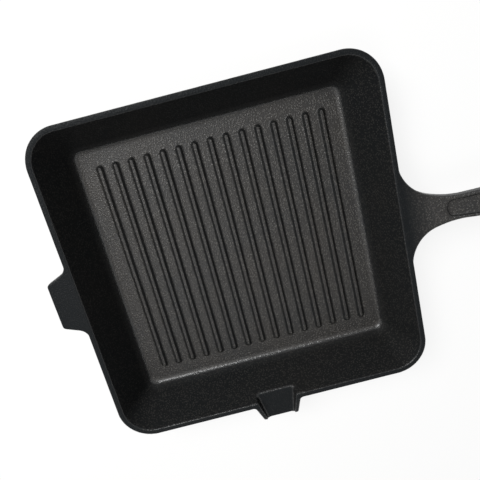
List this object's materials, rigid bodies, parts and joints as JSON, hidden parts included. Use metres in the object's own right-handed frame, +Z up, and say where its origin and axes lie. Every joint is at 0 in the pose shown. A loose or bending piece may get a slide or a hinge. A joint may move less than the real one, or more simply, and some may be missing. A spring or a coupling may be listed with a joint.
{
  "type": "grill pan",
  "caption": "Square cast iron grill pan with sloping walls, parallel floor ridges, a pouring spout, a helper tab and a long rising handle with a hanging eye.",
  "frame": {"origin": "centre of the flat underside, on the plane that the pan rests on", "axes": "+X along the main handle, away from the bowl; -Y towards the pouring spout; +Z up, out of the open top"},
  "size_m": [0.4268, 0.2774, 0.0748],
  "materials": {
    "cast_iron": "sand cast and oil seasoned, satin black with a fine pebbled grain"
  },
  "bodies": {
    "root": {"floor_plate": "cast_iron", "handle_wall": "cast_iron", "back_wall": "cast_iron", "helper_wall": "cast_iron", "spout_wall": "cast_iron", "pouring_spout": "cast_iron", "helper_handle": "cast_iron", "handle_neck": "cast_iron", "handle_grip": "cast_iron", "hanging_eye": "cast_iron", "ridge_01": "cast_iron", "ridge_02": "cast_iron", "ridge_03": "cast_iron", "ridge_04": "cast_iron", "ridge_05": "cast_iron", "ridge_06": "cast_iron", "ridge_07": "cast_iron", "ridge_08": "cast_iron", "ridge_09": "cast_iron", "ridge_10": "cast_iron", "ridge_11": "cast_iron", "ridge_12": "cast_iron", "ridge_13": "cast_iron", "ridge_14": "cast_iron", "ridge_15": "cast_iron"}
  },
  "joints": []
}
